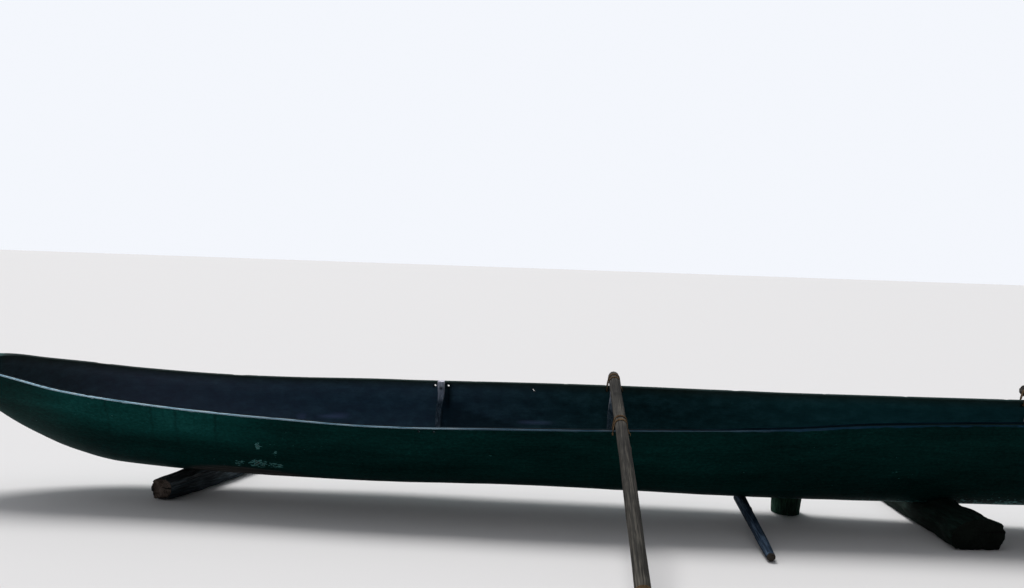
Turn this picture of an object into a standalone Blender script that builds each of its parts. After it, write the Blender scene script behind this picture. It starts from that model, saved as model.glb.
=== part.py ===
"""Dugout outrigger canoe drawn up on two logs, in metres, +Z up, bow towards +X.

The hull, its ribs and its outrigger are laid out in a hull frame, whose X runs
from the stern along the keel and whose Z is square to the gunwales. That frame
heels towards the outrigger, so the float rests on the ground beside the logs.
"""
import math

import bmesh
import bpy
from mathutils import Matrix, Vector

HULL_LENGTH = 9.0
HULL_HALF_BEAM = 0.378
HULL_DEPTH = 0.527
SHEER_RISE = 0.20
SIDE_WALL = 0.032
HULL_FLOOR = 0.055
STERN_BLOCK = 0.24
BOW_BLOCK = 0.62
HEEL = math.radians(12.5)
HULL_CLEARANCE = 0.155

FIT_GAP = 0.0004
SEAT_GAP = 0.0008

RIB_WIDTH = 0.052
RIB_DEPTH = 0.040
RIB_DROP = 0.008
EMPTY_RIB_X = 3.084
EMPTY_RIB_RISE = 0.010
EMPTY_RIB_NEAR_DROP = 0.025
BOOM_X = {"aft": 4.22, "fore": 6.79}

BOOM_RADIUS = 0.038
BOOM_OVERHANG = 0.065
BOOM_TIP = 0.20
BOOM_STRAIGHT = 0.10
CORD_RADIUS = 0.006
HOLE_RADIUS = 0.0078
HOLE_DROP = 0.026
CORD_CLEARANCE = 0.003

FLOAT_OFFSET = 2.00
FLOAT_RADIUS = 0.090
FLOAT_LENGTH = 4.50
FLOAT_START = 3.30
FLOAT_TIP_RADIUS = 0.022
FLOAT_TIP_LIFT = 0.050
FLOAT_TAPER = 0.90
FLOAT_FLAT = 0.008
BOOM_SEAT = 0.012
FLOAT_HOLE_RISE = 0.015

CURVE_STEPS = 18
SECTION_STEPS = 18
STATIONS = 42
STATION_BUNCHING = 0.60
CAVITY_END_WIDTH = 0.40
CAVITY_END_ROUNDING = 0.16
CUTTER_RISE = 0.10
SEAT_REACH = 0.50
AMIDSHIPS = 0.40

# along: share of the length from the stern; beam: share of the half beam;
# keel: rise of the keel as a share of the sheer height there; sheer: share of
# SHEER_RISE; fullness: exponent of the rounded section, 2 being an ellipse
HULL_LINES = [
    # along, beam, keel, sheer, fullness
    (0.000, 0.090, 0.860, 0.88, 2.0),
    (0.011, 0.290, 0.710, 0.85, 2.0),
    (0.033, 0.420, 0.500, 0.78, 2.1),
    (0.056, 0.510, 0.340, 0.62, 2.2),
    (0.089, 0.650, 0.180, 0.41, 2.3),
    (0.122, 0.710, 0.083, 0.25, 2.4),
    (0.187, 0.805, 0.045, 0.06, 2.5),
    (0.233, 0.880, 0.042, 0.00, 2.6),
    (0.311, 1.000, 0.055, -0.03, 2.6),
    (0.400, 0.985, 0.078, 0.05, 2.6),
    (0.522, 0.855, 0.030, 0.16, 2.6),
    (0.578, 0.755, 0.010, 0.24, 2.5),
    (0.633, 0.625, 0.000, 0.36, 2.4),
    (0.733, 0.500, 0.010, 0.50, 2.3),
    (0.811, 0.435, 0.055, 0.62, 2.2),
    (0.878, 0.370, 0.145, 0.75, 2.1),
    (0.933, 0.280, 0.300, 0.87, 2.0),
    (0.972, 0.185, 0.520, 0.96, 2.0),
    (1.000, 0.060, 0.840, 1.00, 2.0),
]

# centre: where the log passes under the keel, from the stern; turn: away from
# square to the hull, in degrees; near and far: reach to each side of the keel;
# sink: depth of the flat worn along the underside; crook: sideways bend;
# butt: share by which the near end is wider than round
LOGS = [
    # name, centre, turn, near, far, radius_near, radius_far, sink, crook, butt
    ("log_aft", 1.53, 19.0, 0.33, 0.64, 0.076, 0.106, 0.012, 0.014, 0.12),
    ("log_fore", 6.21, -7.0, 0.53, 0.62, 0.122, 0.112, 0.056, -0.010, 0.35),
]
LOG_STEPS = 10
LOG_SIDES = 20
LOG_LOBE = 0.035
BUTT_SHARE = 0.45

CHOCK_X = 5.33
CHOCK_Y = 0.05
CHOCK_RADIUS_TOP = 0.100
CHOCK_RADIUS_FOOT = 0.088
CHOCK_HEIGHT = 0.170

SKID_X = 5.02
SKID_RADIUS_NEAR = 0.026
SKID_RADIUS_FAR = 0.036
SKID_NEAR = 0.88
SKID_FAR = 0.02
SKID_BED = 0.006

COLOURS = {
    "hull": ((0.020, 0.085, 0.078), 0.55),
    "rib": ((0.30, 0.29, 0.31), 0.85),
    "boom": ((0.33, 0.29, 0.24), 0.80),
    "float": ((0.30, 0.27, 0.23), 0.80),
    "cord": ((0.36, 0.27, 0.16), 0.90),
    "log": ((0.10, 0.085, 0.080), 0.95),
}


def clear_scene():
    for thing in list(bpy.data.objects):
        bpy.data.objects.remove(thing, do_unlink=True)


def new_collection(name):
    collection = bpy.data.collections.new(name)
    bpy.context.scene.collection.children.link(collection)
    return collection


def new_frame(name, parent=None):
    empty = bpy.data.objects.new(name, None)
    bpy.context.scene.collection.objects.link(empty)
    empty.parent = parent
    return empty


def material_for(name, finish):
    colour, roughness = COLOURS[finish]
    material = bpy.data.materials.new(name)
    material.use_nodes = True
    shader = material.node_tree.nodes["Principled BSDF"]
    shader.inputs["Base Color"].default_value = (*colour, 1.0)
    shader.inputs["Roughness"].default_value = roughness
    shader.inputs["Metallic"].default_value = 0.0
    return material


def add_part(name, data, finish, parent, collection):
    part = bpy.data.objects.new(name, data)
    collection.objects.link(part)
    part.parent = parent
    part.data.materials.append(material_for(name, finish))
    return part


def add_cutter(name, data, parent, collection):
    cutter = bpy.data.objects.new(name, data)
    collection.objects.link(cutter)
    cutter.parent = parent
    cutter.hide_render = True
    cutter.display_type = "WIRE"
    return cutter


def cut(part, cutter):
    modifier = part.modifiers.new("cut_" + cutter.name, "BOOLEAN")
    modifier.operation = "DIFFERENCE"
    modifier.solver = "EXACT"
    modifier.object = cutter


def shade_round(mesh, angle=35.0):
    mesh.shade_smooth()
    mesh.set_sharp_from_angle(angle=math.radians(angle))


def fair(column, along):
    """Value of one HULL_LINES column on a smooth curve that never overshoots."""
    stations = [row[0] for row in HULL_LINES]
    values = [row[column] for row in HULL_LINES]
    steps = [b - a for a, b in zip(stations, stations[1:])]
    slopes = [(b - a) / step for a, b, step in zip(values, values[1:], steps)]
    tangents = [slopes[0]]
    for before, after in zip(slopes, slopes[1:]):
        same_way = before * after > 0.0
        tangents.append(2.0 * before * after / (before + after) if same_way else 0.0)
    tangents.append(slopes[-1])
    last = len(steps) - 1
    index = min(last, max(0, sum(station <= along for station in stations) - 1))
    step = steps[index]
    t = (along - stations[index]) / step
    start = (1.0 + 2.0 * t) * (1.0 - t) ** 2 * values[index]
    end = t * t * (3.0 - 2.0 * t) * values[index + 1]
    lean = t * (1.0 - t) ** 2 * tangents[index] - t * t * (1.0 - t) * tangents[index + 1]
    return start + end + step * lean


def hull_lines_at(x):
    along = x / HULL_LENGTH
    sheer = HULL_DEPTH + SHEER_RISE * fair(3, along)
    return {
        "half_beam": HULL_HALF_BEAM * fair(1, along),
        "keel": sheer * fair(2, along),
        "sheer": sheer,
        "fullness": fair(4, along),
    }


def rounded_section(half_beam, keel, sheer, fullness):
    """Points (y, z) from the far gunwale round the keel to the near one."""
    power = 2.0 / fullness
    points = []
    for step in range(SECTION_STEPS + 1):
        angle = math.pi * step / SECTION_STEPS
        across = math.cos(angle)
        down = math.sin(angle)
        y = math.copysign(abs(across) ** power, across) * half_beam
        points.append((y, sheer - (sheer - keel) * down ** power))
    return points


def outer_section(x, grow=0.0):
    lines = hull_lines_at(x)
    half_beam = lines["half_beam"] + grow
    return rounded_section(half_beam, lines["keel"] - grow, lines["sheer"], lines["fullness"])


def cavity_section(x):
    lines = hull_lines_at(x)
    reach = min(x - STERN_BLOCK, HULL_LENGTH - BOW_BLOCK - x)
    share = min(1.0, max(0.0, reach / CAVITY_END_ROUNDING))
    rounding = CAVITY_END_WIDTH + (1.0 - CAVITY_END_WIDTH) * math.sqrt(1.0 - (1.0 - share) ** 2)
    half_beam = (lines["half_beam"] - SIDE_WALL) * rounding
    return rounded_section(half_beam, lines["keel"] + HULL_FLOOR, lines["sheer"], lines["fullness"])


def station_places(start, end, count):
    """Stations bunched towards both ends, where the lines turn fastest."""
    places = []
    for index in range(count + 1):
        t = index / count
        eased = t - STATION_BUNCHING * math.sin(2.0 * math.pi * t) / (2.0 * math.pi)
        places.append(start + (end - start) * eased)
    return places


HULL_STATIONS = station_places(0.0, HULL_LENGTH, STATIONS)
CAVITY_STATIONS = station_places(STERN_BLOCK, HULL_LENGTH - BOW_BLOCK, STATIONS - 4)


def on_facets(section, stations, x):
    """Section at x as the straight facets between two stations have it."""
    index = min(len(stations) - 2, max(0, sum(place <= x for place in stations) - 1))
    start, end = stations[index], stations[index + 1]
    share = (x - start) / (end - start)
    pairs = zip(section(start), section(end))
    return [(a[0] + (b[0] - a[0]) * share, a[1] + (b[1] - a[1]) * share) for a, b in pairs]


def loft(name, rings):
    """Closed solid through rings of 3-D points that all have the same count."""
    mesh = bpy.data.meshes.new(name)
    shape = bmesh.new()
    rows = [[shape.verts.new(point) for point in ring] for ring in rings]
    size = len(rows[0])
    for before, after in zip(rows, rows[1:]):
        for i in range(size):
            j = (i + 1) % size
            shape.faces.new((before[i], before[j], after[j], after[i]))
    shape.faces.new(rows[0][::-1])
    shape.faces.new(rows[-1])
    bmesh.ops.recalc_face_normals(shape, faces=shape.faces)
    shape.to_mesh(mesh)
    shape.free()
    shade_round(mesh)
    return mesh


def hull_loft(name, grow=0.0, stations=None):
    stations = stations or HULL_STATIONS
    rings = []
    for x in stations:
        section = on_facets(lambda place: outer_section(place, grow), HULL_STATIONS, x)
        rings.append([(x, y, z) for y, z in section])
    return loft(name, rings)


def cavity_loft(name):
    rings = []
    for x in CAVITY_STATIONS:
        section = cavity_section(x)
        far = (x, section[0][0], section[0][1] + CUTTER_RISE)
        near = (x, section[-1][0], section[-1][1] + CUTTER_RISE)
        rings.append([far] + [(x, y, z) for y, z in section] + [near])
    return loft(name, rings)


def hole_mesh(name, length, radius=HOLE_RADIUS):
    """Drill of the given length, along Y."""
    mesh = bpy.data.meshes.new(name)
    shape = bmesh.new()
    turn = Matrix.Rotation(math.radians(90.0), 4, "X")
    bmesh.ops.create_cone(shape, cap_ends=True, segments=10, radius1=radius, radius2=radius,
                          depth=length, matrix=turn)
    shape.to_mesh(mesh)
    shape.free()
    return mesh


def lashing_half_width():
    return BOOM_RADIUS + CORD_RADIUS + FIT_GAP


def gunwale_at(x):
    """Half beam and sheer height of the straight facets at x."""
    return on_facets(outer_section, HULL_STATIONS, x)[0]


def make_hull(frame, parts, cutters):
    hull = add_part("hull", hull_loft("hull"), "hull", frame, parts)
    cut(hull, add_cutter("hull_cavity", cavity_loft("hull_cavity"), frame, cutters))
    for station in [EMPTY_RIB_X, *BOOM_X.values()]:
        for side in (-1.0, 1.0):
            x = station + side * lashing_half_width()
            half_beam, sheer = gunwale_at(x)
            name = f"hull_hole_{station:.2f}_{side:+.0f}"
            drill = add_cutter(name, hole_mesh(name, 3.0 * half_beam), frame, cutters)
            drill.location = (x, 0.0, sheer - HOLE_DROP)
            cut(hull, drill)
    return hull


def lowered_ends(section, drops):
    """The section with its far and near gunwale points moved down along the sides."""
    lowered = list(section)
    for drop, end, beside in zip(drops, (0, -1), (1, -2)):
        (y, z), (next_y, next_z) = section[end], section[beside]
        share = drop / (z - next_z)
        lowered[end] = (y + (next_y - y) * share, z - drop)
    return lowered


def make_rib(name, x, drops, frame, parts):
    """Grown crook inside the hull, its far and near ends each a drop below the gunwale."""
    mesh = bpy.data.meshes.new(name)
    shape = bmesh.new()
    rows = []
    for place in (x - RIB_WIDTH / 2.0, x + RIB_WIDTH / 2.0):
        section = lowered_ends(on_facets(cavity_section, CAVITY_STATIONS, place), drops)
        row = []
        for index, (y, z) in enumerate(section):
            ahead = section[min(index + 1, len(section) - 1)]
            behind = section[max(index - 1, 0)]
            along = Vector((0.0, ahead[0] - behind[0], ahead[1] - behind[1])).normalized()
            inward = Vector((0.0, along.z, -along.y))
            row.append(shape.verts.new(Vector((place, y, z)) + inward * 2.0 * FIT_GAP))
        rows.append(row)
    for i in range(SECTION_STEPS):
        shape.faces.new((rows[0][i], rows[1][i], rows[1][i + 1], rows[0][i + 1]))
    shape.to_mesh(mesh)
    shape.free()
    rib = add_part(name, mesh, "rib", frame, parts)
    wall = rib.modifiers.new("thickness", "SOLIDIFY")
    wall.thickness = RIB_DEPTH
    wall.offset = -1.0
    wall.use_even_offset = True
    return rib


def float_centre_height():
    """Height of the float's axis in the hull frame, so that its flat is on the ground."""
    ground = FLOAT_RADIUS - FLOAT_FLAT - keel_height()
    return (ground + FLOAT_OFFSET * math.sin(HEEL)) / math.cos(HEEL)


def keel_height():
    """Height of the hull frame's origin over the ground, from the lowest bilge amidships."""
    middle = outer_section(HULL_LENGTH * AMIDSHIPS)
    lowest = min(y * math.sin(HEEL) + z * math.cos(HEEL) for y, z in middle)
    return HULL_CLEARANCE - lowest


def boom_bend(x):
    """Start of the bend, height over the hull and curvature that meets the float."""
    half_beam, sheer = gunwale_at(x)
    start = half_beam + BOOM_STRAIGHT
    height = sheer + BOOM_RADIUS + FIT_GAP
    run = FLOAT_OFFSET - start
    reach = FLOAT_RADIUS + BOOM_RADIUS - BOOM_SEAT
    curvature = 0.0
    for _ in range(12):
        slope = 2.0 * curvature * run
        target = float_centre_height() + reach * math.hypot(1.0, slope)
        curvature = (height - target) / run ** 2
    return start, height, curvature


def boom_height(x, y):
    """Height and slope of the boom's axis at y in the hull frame."""
    start, height, curvature = boom_bend(x)
    outboard = max(0.0, -y - start)
    return height - curvature * outboard ** 2, 2.0 * curvature * outboard


def boom_curve(name, x, radius):
    half_beam = gunwale_at(x)[0]
    inner = half_beam + BOOM_OVERHANG
    outer = -FLOAT_OFFSET - BOOM_TIP
    curve = bpy.data.curves.new(name, "CURVE")
    curve.dimensions = "3D"
    curve.bevel_depth = radius
    curve.bevel_resolution = 4
    curve.use_fill_caps = True
    spline = curve.splines.new("POLY")
    spline.points.add(CURVE_STEPS)
    for index, point in enumerate(spline.points):
        y = inner + (outer - inner) * index / CURVE_STEPS
        point.co = (x, y, boom_height(x, y)[0], 1.0)
    return curve


def mesh_of_curve(curve, parent, collection):
    """Mesh of a bevelled curve with its caps welded, in place of the curve."""
    holder = bpy.data.objects.new(curve.name, curve)
    collection.objects.link(holder)
    bpy.context.view_layer.update()
    evaluated = holder.evaluated_get(bpy.context.evaluated_depsgraph_get())
    mesh = bpy.data.meshes.new_from_object(evaluated)
    bpy.data.objects.remove(holder, do_unlink=True)
    shape = bmesh.new()
    shape.from_mesh(mesh)
    bmesh.ops.remove_doubles(shape, verts=shape.verts, dist=0.00005)
    bmesh.ops.recalc_face_normals(shape, faces=shape.faces)
    shape.to_mesh(mesh)
    shape.free()
    return mesh


def make_boom(name, x, frame, parts):
    curve = boom_curve(name, x, BOOM_RADIUS)
    mesh = mesh_of_curve(curve, frame, parts)
    shade_round(mesh)
    return add_part(name, mesh, "boom", frame, parts)


def make_float(frame, parts, cutters):
    """Hewn log with lifted, pointed ends and a flat along its underside."""
    rings = []
    flat = -FLOAT_RADIUS + FLOAT_FLAT
    for index in range(CURVE_STEPS + 1):
        x = FLOAT_LENGTH * index / CURVE_STEPS
        edge = min(x, FLOAT_LENGTH - x)
        share = min(1.0, edge / FLOAT_TAPER)
        swell = math.sin(share * math.pi / 2.0)
        radius = FLOAT_TIP_RADIUS + (FLOAT_RADIUS - FLOAT_TIP_RADIUS) * swell
        lift = FLOAT_TIP_LIFT * (1.0 - share) ** 2
        ring = []
        for step in range(16):
            angle = 2.0 * math.pi * step / 16
            z = lift + radius * math.sin(angle)
            ring.append((x, radius * math.cos(angle), max(z, flat)))
        rings.append(ring)
    log = add_part("float", loft("float", rings), "float", frame, parts)
    log.location = (FLOAT_START, -FLOAT_OFFSET, float_centre_height())
    log.rotation_euler = (-HEEL, 0.0, 0.0)
    for place, x in BOOM_X.items():
        curve = boom_curve(f"float_seat_{place}", x, BOOM_RADIUS + FIT_GAP)
        seat = mesh_of_curve(curve, frame, cutters)
        cut(log, add_cutter(f"float_seat_{place}", seat, frame, cutters))
        for side in (-1.0, 1.0):
            name = f"float_hole_{place}_{side:+.0f}"
            drill = add_cutter(name, hole_mesh(name, 4.0 * FLOAT_RADIUS), frame, cutters)
            height = float_centre_height() + FLOAT_HOLE_RISE
            drill.location = (x + side * lashing_half_width(), -FLOAT_OFFSET, height)
            cut(log, drill)
    return log


def lashing_loop(x, outer_y, inner_y, hole_height):
    """Closed loop through a pair of holes and twice over the boom that it holds."""
    steps = 8
    spread = lashing_half_width()
    points = []
    for y, way in ((outer_y, 1.0), (inner_y, -1.0)):
        height, slope = boom_height(x, y)
        rise = spread * math.hypot(1.0, slope) / math.cos(math.pi / (2 * steps))
        points.append((x - way * spread, y, hole_height))
        for step in range(steps + 1):
            angle = math.pi * step / steps
            across = -way * spread * math.cos(angle)
            points.append((x + across, y, height + rise * math.sin(angle)))
        points.append((x + way * spread, y, hole_height))
    return points


def make_lashing(name, points, frame, parts):
    curve = bpy.data.curves.new(name, "CURVE")
    curve.dimensions = "3D"
    curve.bevel_depth = CORD_RADIUS
    curve.bevel_resolution = 2
    spline = curve.splines.new("POLY")
    spline.points.add(len(points) - 1)
    spline.use_cyclic_u = True
    for point, place in zip(spline.points, points):
        point.co = (*place, 1.0)
    return add_part(name, mesh_of_curve(curve, frame, parts), "cord", frame, parts)


def make_outrigger(frame, parts, cutters):
    make_float(frame, parts, cutters)
    stand_off = CORD_RADIUS + CORD_CLEARANCE
    for place, x in BOOM_X.items():
        make_boom(f"boom_{place}", x, frame, parts)
        half_beam, sheer = gunwale_at(x)
        hole = sheer - HOLE_DROP
        for side, way in (("near", -1.0), ("far", 1.0)):
            outside = way * (half_beam + stand_off)
            inside = way * (half_beam - SIDE_WALL - stand_off)
            loop = lashing_loop(x, outside, inside, hole)
            make_lashing(f"lashing_{place}_{side}", loop, frame, parts)
        reach = math.sqrt(FLOAT_RADIUS ** 2 - FLOAT_HOLE_RISE ** 2) + stand_off
        hole = float_centre_height() + FLOAT_HOLE_RISE
        loop = lashing_loop(x, -FLOAT_OFFSET - reach, -FLOAT_OFFSET + reach, hole)
        make_lashing(f"lashing_{place}_float", loop, frame, parts)


def seat_cutter(name, x, reach, frame, cutters):
    """Stretch of the hull's outside, grown by the fitting gap, that beds in a support."""
    places = [place for place in HULL_STATIONS if abs(place - x) < reach]
    places = [x - reach, *places, x + reach]
    return add_cutter(name, hull_loft(name, SEAT_GAP, places), frame, cutters)


def ground_cutter(cutters, root):
    mesh = bpy.data.meshes.new("ground")
    shape = bmesh.new()
    bmesh.ops.create_cube(shape, size=1.0)
    bmesh.ops.scale(shape, vec=(HULL_LENGTH, 3.0 * FLOAT_OFFSET, 1.0), verts=shape.verts)
    bmesh.ops.translate(shape, vec=(HULL_LENGTH / 2.0, 0.0, -0.5), verts=shape.verts)
    shape.to_mesh(mesh)
    shape.free()
    return add_cutter("ground", mesh, root, cutters)


def rough_log(name, length, radius_near, radius_far, sink, crook, butt):
    """Lobed, slightly crooked log along Y, its underside sunk below z = 0."""
    rings = []
    for index in range(LOG_STEPS + 1):
        along = index / LOG_STEPS
        radius = radius_near + (radius_far - radius_near) * along
        width = 1.0 + butt * max(0.0, 1.0 - along / BUTT_SHARE) ** 2
        middle = (crook * math.sin(math.pi * along), length * along, radius - sink)
        ring = []
        for side in range(LOG_SIDES):
            angle = 2.0 * math.pi * side / LOG_SIDES
            lobes = math.sin(2.0 * angle + 5.0 * along) + math.sin(3.0 * angle - 4.0 * along)
            reach = radius * (1.0 + LOG_LOBE * lobes)
            offset = (width * reach * math.cos(angle), 0.0, reach * math.sin(angle))
            ring.append([a + b for a, b in zip(middle, offset)])
        rings.append(ring)
    return loft(name, rings)


def make_logs(root, frame, parts, cutters, ground):
    for name, centre, turn, near, far, *shape in LOGS:
        mesh = rough_log(name, near + far, *shape)
        log = add_part(name, mesh, "log", root, parts)
        angle = math.radians(turn)
        log.location = (centre - near * math.sin(angle), -near * math.cos(angle), 0.0)
        log.rotation_euler = (0.0, 0.0, -angle)
        cut(log, ground)
        cut(log, seat_cutter("seat_" + name, centre, SEAT_REACH, frame, cutters))


def make_chock(root, frame, parts, cutters):
    """Short upright stump under the keel."""
    mesh = bpy.data.meshes.new("chock")
    shape = bmesh.new()
    bmesh.ops.create_cone(shape, cap_ends=True, segments=LOG_SIDES, radius1=CHOCK_RADIUS_FOOT,
                          radius2=CHOCK_RADIUS_TOP, depth=CHOCK_HEIGHT)
    shape.to_mesh(mesh)
    shape.free()
    shade_round(mesh)
    chock = add_part("chock", mesh, "log", root, parts)
    chock.location = (CHOCK_X, CHOCK_Y, CHOCK_HEIGHT / 2.0)
    cut(chock, seat_cutter("seat_chock", CHOCK_X, SEAT_REACH, frame, cutters))


def make_skid_pole(root, frame, parts, cutters, ground):
    """Pole wedged under the bilge, its near end on the ground."""
    bilge = min((world_point(frame, (SKID_X, y, z)) for y, z in outer_section(SKID_X)),
                key=lambda point: point.z)
    run = SKID_NEAR + bilge.y
    rise = bilge.z + SKID_BED - SKID_RADIUS_FAR - SKID_RADIUS_NEAR
    tilt = math.atan2(rise, run)
    length = (SKID_NEAR - SKID_FAR) / math.cos(tilt)
    mesh = bpy.data.meshes.new("skid_pole")
    shape = bmesh.new()
    lay = Matrix.Translation((0.0, length / 2.0, 0.0)) @ Matrix.Rotation(math.radians(-90.0), 4, "X")
    bmesh.ops.create_cone(shape, cap_ends=True, segments=LOG_SIDES, radius1=SKID_RADIUS_NEAR,
                          radius2=SKID_RADIUS_FAR, depth=length, matrix=lay)
    shape.to_mesh(mesh)
    shape.free()
    shade_round(mesh)
    pole = add_part("skid_pole", mesh, "boom", root, parts)
    pole.location = (SKID_X, -SKID_NEAR, SKID_RADIUS_NEAR)
    pole.rotation_euler = (tilt, 0.0, 0.0)
    cut(pole, ground)
    cut(pole, seat_cutter("seat_skid", SKID_X, SEAT_REACH, frame, cutters))


def world_point(frame, point):
    bpy.context.view_layer.update()
    return frame.matrix_world @ Vector(point)


def centre_on_ground(root, parts):
    """Move the whole model so that its origin is under the middle of its box."""
    bpy.context.view_layer.update()
    graph = bpy.context.evaluated_depsgraph_get()
    low = Vector((math.inf,) * 3)
    high = Vector((-math.inf,) * 3)
    for part in parts.objects:
        evaluated = part.evaluated_get(graph)
        mesh = evaluated.to_mesh()
        for vertex in mesh.vertices:
            place = evaluated.matrix_world @ vertex.co
            low = Vector(map(min, low, place))
            high = Vector(map(max, high, place))
        evaluated.to_mesh_clear()
    middle = (low + high) / 2.0
    root.location = (-middle.x, -middle.y, 0.0)


def main():
    clear_scene()
    parts = new_collection("outrigger_canoe")
    cutters = new_collection("cutters")
    root = new_frame("canoe_on_logs")
    frame = new_frame("hull_frame", root)
    frame.location = (0.0, 0.0, keel_height())
    frame.rotation_euler = (HEEL, 0.0, 0.0)
    make_hull(frame, parts, cutters)
    make_rib("rib_mid", EMPTY_RIB_X, (-EMPTY_RIB_RISE, EMPTY_RIB_NEAR_DROP), frame, parts)
    for place, x in BOOM_X.items():
        make_rib(f"rib_{place}", x, (RIB_DROP, RIB_DROP), frame, parts)
    make_outrigger(frame, parts, cutters)
    ground = ground_cutter(cutters, root)
    make_logs(root, frame, parts, cutters, ground)
    make_chock(root, frame, parts, cutters)
    make_skid_pole(root, frame, parts, cutters, ground)
    centre_on_ground(root, parts)


main()
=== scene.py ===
"""Looks of a dugout outrigger canoe that stands on rough logs, in metres.

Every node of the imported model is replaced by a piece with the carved, worn or
twisted surface of the real one. The hull is shaped in its own frame, with X from
the stern tip and Z square to the gunwales, which TO_WORLD heels and puts in place.
"""
import contextlib
import functools
import types
from itertools import product
from math import asin, cos, pi, radians, sin, sqrt, tau

import bpy
import numpy as np
from mathutils import Matrix, Vector
from mathutils.kdtree import KDTree


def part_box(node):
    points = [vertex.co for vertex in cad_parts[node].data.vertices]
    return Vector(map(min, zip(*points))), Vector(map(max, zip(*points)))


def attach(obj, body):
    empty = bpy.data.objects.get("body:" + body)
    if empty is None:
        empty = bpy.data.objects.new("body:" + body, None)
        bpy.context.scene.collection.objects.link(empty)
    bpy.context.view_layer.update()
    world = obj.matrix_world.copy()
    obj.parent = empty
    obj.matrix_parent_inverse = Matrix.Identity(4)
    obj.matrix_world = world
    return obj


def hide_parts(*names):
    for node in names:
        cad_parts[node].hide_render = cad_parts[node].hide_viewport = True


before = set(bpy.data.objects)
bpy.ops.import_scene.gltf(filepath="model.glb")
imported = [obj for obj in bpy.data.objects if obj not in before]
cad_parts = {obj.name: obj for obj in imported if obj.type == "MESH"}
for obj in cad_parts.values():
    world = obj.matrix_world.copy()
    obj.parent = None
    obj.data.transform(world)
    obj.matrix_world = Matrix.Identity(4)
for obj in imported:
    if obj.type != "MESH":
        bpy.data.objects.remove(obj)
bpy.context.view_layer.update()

# The camera's place and turn are those of the photograph, 1024 pixels wide
PHOTO_WIDTH_PX = 1024.0
FOCAL_PX = 900.0
SENSOR_MM = 36.0
CAMERA_PLACE = (-0.709, -4.857, 1.718)
CAMERA_YAW = radians(2.528)
CAMERA_DIP = radians(3.876)
CAMERA_ROLL = radians(1.907)

SUN_ELEVATION = radians(56.0)
SUN_BEARING = radians(20.0)
SUN_SOFTNESS = radians(24.0)
SUN_STRENGTH = 2.8
BACKDROP_WAY = (-0.35, 0.94, 0.0)

LENGTH = 9.0
HALF_BEAM = 0.378
HULL_DEPTH = 0.527
SHEER_RISE = 0.20
SIDE_WALL = 0.032
HULL_FLOOR = 0.055
STERN_BLOCK = 0.24
BOW_BLOCK = 0.62
HEEL = radians(12.5)
CAVITY_END_WIDTH = 0.40
CAVITY_END_ROUNDING = 0.16

# Share of the length from the stern, share of HALF_BEAM, rise of the keel as a share of
# the sheer height there, share of SHEER_RISE, exponent of the section, 2 for an ellipse
HULL_LINES = np.array([
    (0.000, 0.090, 0.860, 0.88, 2.0),
    (0.011, 0.290, 0.710, 0.85, 2.0),
    (0.033, 0.420, 0.500, 0.78, 2.1),
    (0.056, 0.510, 0.340, 0.62, 2.2),
    (0.089, 0.650, 0.180, 0.41, 2.3),
    (0.122, 0.710, 0.083, 0.25, 2.4),
    (0.187, 0.805, 0.045, 0.06, 2.5),
    (0.233, 0.880, 0.042, 0.00, 2.6),
    (0.311, 1.000, 0.055, -0.03, 2.6),
    (0.400, 0.985, 0.078, 0.05, 2.6),
    (0.522, 0.855, 0.030, 0.16, 2.6),
    (0.578, 0.755, 0.010, 0.24, 2.5),
    (0.633, 0.625, 0.000, 0.36, 2.4),
    (0.733, 0.500, 0.010, 0.50, 2.3),
    (0.811, 0.435, 0.055, 0.62, 2.2),
    (0.878, 0.370, 0.145, 0.75, 2.1),
    (0.933, 0.280, 0.300, 0.87, 2.0),
    (0.972, 0.185, 0.520, 0.96, 2.0),
    (1.000, 0.060, 0.840, 1.00, 2.0),
])

# Spans of the hull's mesh, round its section and from stern to bow
OUTSIDE_SPANS = 54
CORNER_SPANS = 3
RIM_SPANS = 4
HOLLOW_SPANS = 70
RING = OUTSIDE_SPANS + HOLLOW_SPANS + 2 * (2 * CORNER_SPANS + RIM_SPANS)
STATION_CUTS = (19, 28)
SPANS = (STATION_CUTS[0] + 1) * (STATION_CUTS[1] + 1)
END_WALL = 0.07
RIM_ROUNDING = 0.009
TIP_ROUNDING = 0.014
DECK_CROWN = 0.007

HOLE_SPREAD = 0.0444
HOLE_RADIUS = 0.0078
HOLE_DROP = 0.026
HOLE_SLOPE = radians(14.0)
SPLIT_PLACE = (3.695, 0.043)
SPLIT_SIZE = (0.0115, 0.0018)
SPLIT_SLANT = radians(48.0)
SPLIT_SLOPE = radians(20.0)

# Worn places of the near side's paint: x from the stern tip, depth below the gunwale,
# reach along and down, and how far the paint has gone
SCUFFS = [
    (2.050, 0.196, 0.020, 0.036, 0.272),
    (2.155, 0.249, 0.020, 0.040, 0.226),
    (2.145, 0.335, 0.055, 0.030, 0.292),
    (1.915, 0.344, 0.045, 0.030, 0.252),
    (2.035, 0.326, 0.070, 0.042, 0.336),
    (7.350, 0.260, 0.120, 0.050, 0.240),
]

# Where the stern log rubbed the near bilge to bare wood, the same way
BARE_BILGE = [(1.930, 0.480, 0.420, 0.100, 1.0)]

# Dark runs of water down the near side, metres from the stern tip
RUNS = (1.11, 1.39, 1.545, 1.795)

# Streaks of pale dust on the far inner wall, the same way
DUST_STREAKS = [
    (2.380, 0.249, 0.135, 0.010, 0.95),
    (2.150, 0.262, 0.040, 0.030, 0.45),
    (3.710, 0.258, 0.115, 0.010, 0.55),
]

# Painted shade that darkens the lip towards the bow: x from the stern tip, share
LIP_SHADE = [(1.10, 0.00), (1.75, 0.15), (2.15, 0.46), (3.10, 0.49),
            (3.42, 0.86), (4.90, 0.87), (5.15, 0.965), (5.70, 0.986)]

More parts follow.
